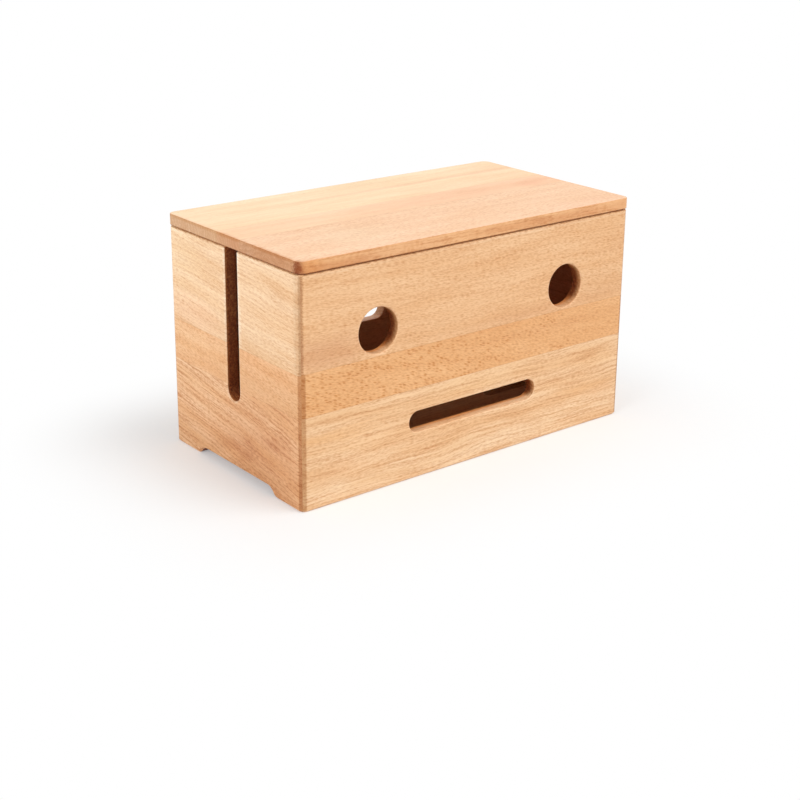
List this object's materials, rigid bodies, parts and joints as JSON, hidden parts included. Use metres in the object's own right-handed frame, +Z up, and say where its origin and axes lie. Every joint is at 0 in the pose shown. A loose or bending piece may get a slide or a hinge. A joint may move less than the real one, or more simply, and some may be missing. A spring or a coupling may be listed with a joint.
{
  "type": "cable management box",
  "caption": "Rectangular mitred wooden box with a loose plank lid, round cable holes, wall slots and low feet, for hiding a power strip and its cords.",
  "frame": {"origin": "middle of the box on the surface it stands on", "axes": "+X along the 240 mm length, -Y faces the front with the two round holes, +Z up to the lid"},
  "size_m": [0.24, 0.13, 0.138],
  "materials": {
    "beech_pale": "satin clear oil on pale beech",
    "beech_honey": "satin clear oil on honey-coloured beech",
    "beech_tan": "satin clear oil on tan beech",
    "beech_amber": "satin clear oil on amber beech",
    "beech_rose": "satin clear oil on pinkish beech"
  },
  "bodies": {
    "box": {"front_stave_lower": "beech_honey", "front_stave_middle": "beech_amber", "front_stave_upper": "beech_tan", "back_stave_lower": "beech_tan", "back_stave_middle": "beech_honey", "back_stave_upper": "beech_pale", "left_stave_lower": "beech_rose", "left_stave_middle_front": "beech_amber", "left_stave_middle_rear": "beech_amber", "left_stave_upper_front": "beech_pale", "left_stave_upper_rear": "beech_pale", "right_stave_lower": "beech_honey", "right_stave_middle_front": "beech_rose", "right_stave_middle_rear": "beech_rose", "right_stave_upper_front": "beech_tan", "right_stave_upper_rear": "beech_tan", "base_stave_front": "beech_tan", "base_stave_middle": "beech_honey", "base_stave_rear": "beech_amber", "corner_tongue_front_left": "beech_pale", "corner_tongue_front_right": "beech_pale", "corner_tongue_back_left": "beech_pale", "corner_tongue_back_right": "beech_pale"},
    "lid": {"lid_stave_front": "beech_rose", "lid_stave_middle": "beech_tan", "lid_stave_rear": "beech_pale", "lid_cleat_front": "beech_honey", "lid_cleat_rear": "beech_honey"}
  },
  "joints": [
    {"name": "lid_lift", "type": "slide", "parent": "box", "child": "lid", "axis": [0, 0, 1], "range_m": [0, 0.15]}
  ]
}
